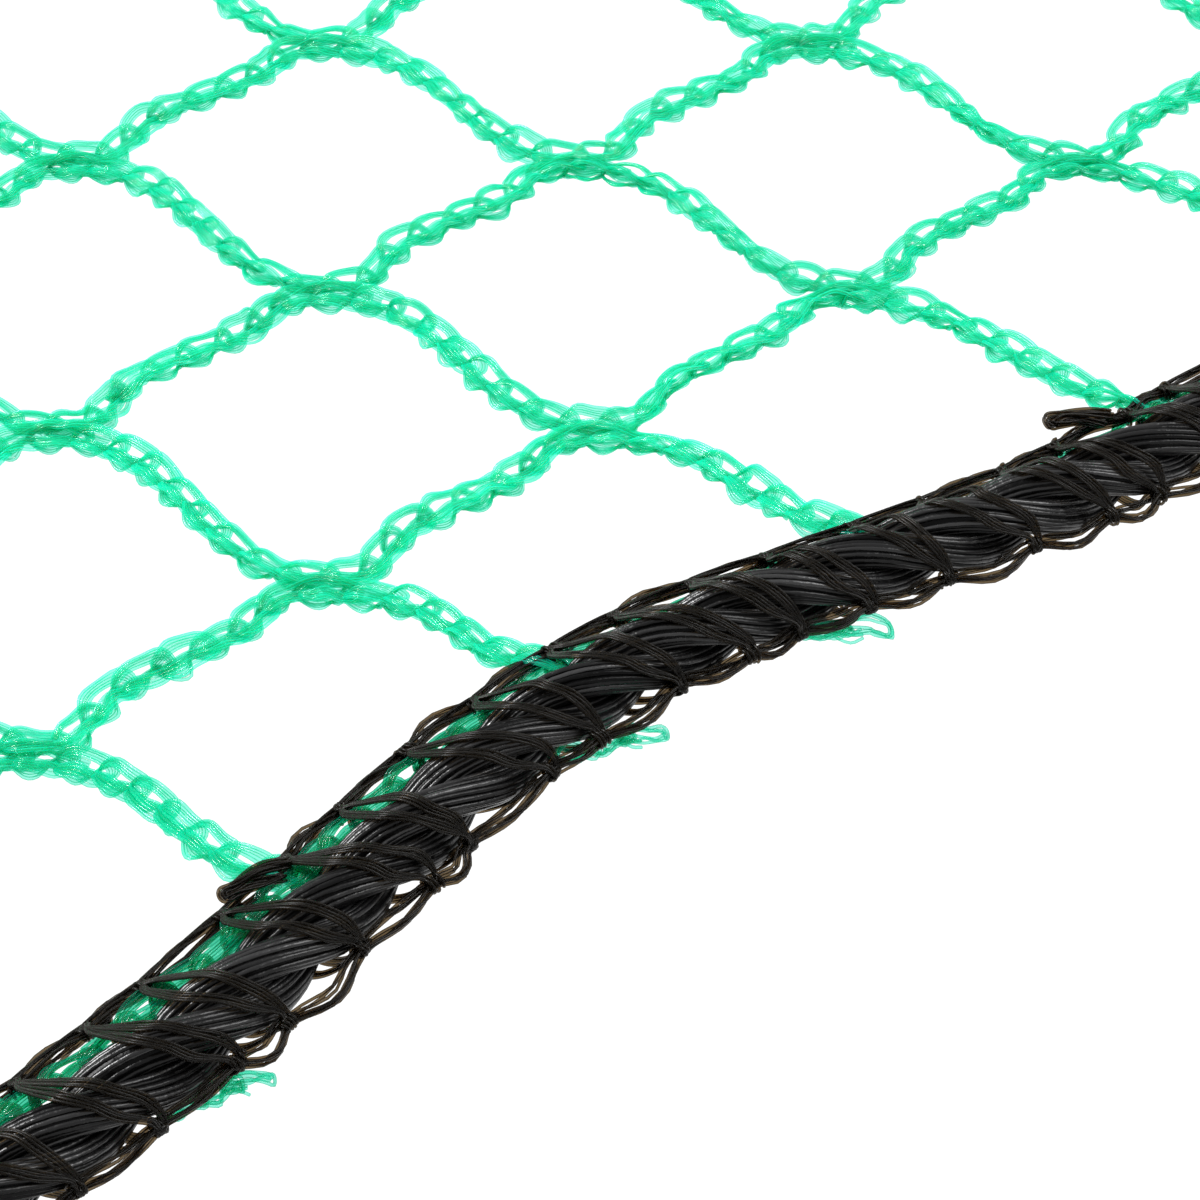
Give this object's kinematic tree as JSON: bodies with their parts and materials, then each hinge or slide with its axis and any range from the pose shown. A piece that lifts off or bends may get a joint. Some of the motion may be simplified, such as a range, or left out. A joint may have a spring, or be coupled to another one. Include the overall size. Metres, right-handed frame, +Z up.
{
  "type": "tennis net edge",
  "caption": "Roped edge of a knotless net: chain-knitted mesh cords sewn to a twisted border rope with an overlock binding; the netting folds along its mesh rows.",
  "frame": {"origin": "middle of the footprint, on the plane the piece lies on", "axes": "+X along the border rope, +Y from the rope out into the netting, +Z up from the plane the net lies on"},
  "size_m": [0.1568, 0.0888, 0.006],
  "materials": {
    "netting": "translucent green monofilament, soft sheen",
    "rope": "black twisted monofilament, soft grey sheen",
    "binding": "black-brown monofilament thread"
  },
  "bodies": {
    "border": {"rope_strand_1": "rope", "rope_strand_2": "rope", "rope_strand_3": "rope", "selvedge_cord": "netting", "inner_chain_thread": "binding", "outer_chain_thread": "binding", "top_looper_thread": "binding", "bottom_looper_thread": "binding", "cord_tail_1": "netting", "cord_tail_2": "netting", "cord_tail_3": "netting", "slack_loop_1": "binding", "slack_loop_2": "binding", "wale_1_1": "netting", "wale_1_2": "netting", "wale_1_3": "netting", "wale_1_4": "netting", "wale_1_5": "netting", "wale_1_6": "netting", "wale_1_7": "netting", "wale_1_8": "netting"},
    "net_row_2": {"wale_2_1": "netting", "wale_2_2": "netting", "wale_2_3": "netting", "wale_2_4": "netting", "wale_2_5": "netting", "wale_2_6": "netting", "wale_2_7": "netting", "wale_2_8": "netting"},
    "net_row_3": {"wale_3_1": "netting", "wale_3_2": "netting", "wale_3_3": "netting", "wale_3_4": "netting", "wale_3_5": "netting", "wale_3_6": "netting", "wale_3_7": "netting", "wale_3_8": "netting"},
    "net_row_4": {"wale_4_1": "netting", "wale_4_2": "netting", "wale_4_3": "netting", "wale_4_4": "netting", "wale_4_5": "netting", "wale_4_6": "netting", "wale_4_7": "netting", "wale_4_8": "netting"}
  },
  "joints": [
    {"name": "fold_row_1", "type": "hinge", "parent": "border", "child": "net_row_2", "pos_m": [0, -0.01571, 0.00081], "axis": [1, 0, 0], "range_deg": [-75, 75]},
    {"name": "fold_row_2", "type": "hinge", "parent": "net_row_2", "child": "net_row_3", "pos_m": [0, 0.00279, 0.00081], "axis": [1, 0, 0], "range_deg": [-75, 75]},
    {"name": "fold_row_3", "type": "hinge", "parent": "net_row_3", "child": "net_row_4", "pos_m": [0, 0.02129, 0.00081], "axis": [1, 0, 0], "range_deg": [-75, 75]}
  ]
}
